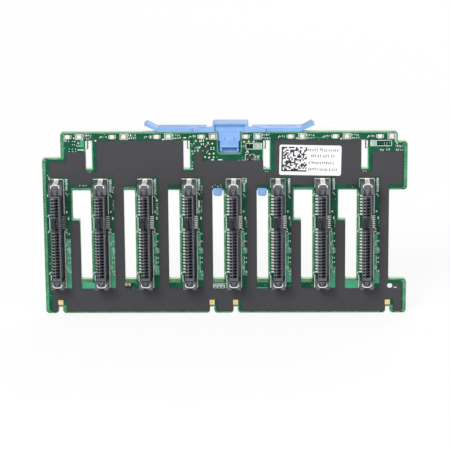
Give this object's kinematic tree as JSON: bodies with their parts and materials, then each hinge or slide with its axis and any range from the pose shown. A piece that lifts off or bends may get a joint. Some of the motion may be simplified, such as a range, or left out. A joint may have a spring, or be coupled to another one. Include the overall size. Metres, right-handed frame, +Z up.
{
  "type": "drive backplane board",
  "caption": "Server drive backplane: slotted circuit board with upright drive connectors, black film, label and a blue release latch.",
  "frame": {"origin": "middle of the board's bottom edge, in the mid-plane of its thickness", "axes": "+X along the board to the right seen from the drive side, +Y towards the cable side, +Z up"},
  "size_m": [0.146, 0.0218, 0.0792],
  "materials": {
    "circuit_board": "green solder mask over glass-fibre laminate",
    "insulating_film": "matt black film",
    "label_paper": "matt white label",
    "connector_resin": "moulded dark grey resin",
    "tinned_steel": "tin plated, satin",
    "gold_plate": "thin gold plate, satin",
    "blue_resin": "satin moulded blue",
    "lamp_resin": "pale clear resin",
    "black_resin": "moulded black",
    "pale_resin": "moulded off-white",
    "socket_steel": "bright nickel plate",
    "resistor_ceramic": "dark glaze with tinned ends",
    "capacitor_ceramic": "tan ceramic with tinned ends",
    "can_aluminium": "bright sleeve",
    "ferrite": "dark grey sintered"
  },
  "bodies": {
    "root": {"board": "circuit_board", "insulator_film": "insulating_film", "label": "label_paper", "drive_connector_1": "connector_resin", "hold_down_clips_1": "tinned_steel", "connector_contacts_1": "tinned_steel", "drive_connector_2": "connector_resin", "hold_down_clips_2": "tinned_steel", "connector_contacts_2": "tinned_steel", "drive_connector_3": "connector_resin", "hold_down_clips_3": "tinned_steel", "connector_contacts_3": "tinned_steel", "drive_connector_4": "connector_resin", "hold_down_clips_4": "tinned_steel", "connector_contacts_4": "tinned_steel", "drive_connector_5": "connector_resin", "hold_down_clips_5": "tinned_steel", "connector_contacts_5": "tinned_steel", "drive_connector_6": "connector_resin", "hold_down_clips_6": "tinned_steel", "connector_contacts_6": "tinned_steel", "drive_connector_7": "connector_resin", "hold_down_clips_7": "tinned_steel", "connector_contacts_7": "tinned_steel", "drive_connector_8": "connector_resin", "hold_down_clips_8": "tinned_steel", "connector_contacts_8": "tinned_steel", "release_latch": "blue_resin", "ground_pads": "gold_plate", "hook_slot_pads": "tinned_steel", "activity_lamps": "lamp_resin", "status_lamps": "lamp_resin", "transistors": "black_resin", "transistor_leads": "tinned_steel", "power_header": "pale_resin", "power_pins": "tinned_steel", "signal_header": "pale_resin", "signal_pins": "tinned_steel", "controller_chip": "black_resin", "controller_chip_leads": "tinned_steel", "memory_chip": "black_resin", "memory_chip_leads": "tinned_steel", "regulator_chip": "black_resin", "regulator_chip_leads": "tinned_steel", "power_inductor": "ferrite", "bulk_capacitors": "can_aluminium", "chip_resistors": "resistor_ceramic", "chip_capacitors": "capacitor_ceramic", "data_socket_shell_a": "socket_steel", "data_socket_core_a": "black_resin", "data_socket_contacts_a": "tinned_steel", "data_socket_shell_b": "socket_steel", "data_socket_core_b": "black_resin", "data_socket_contacts_b": "tinned_steel"}
  },
  "joints": []
}
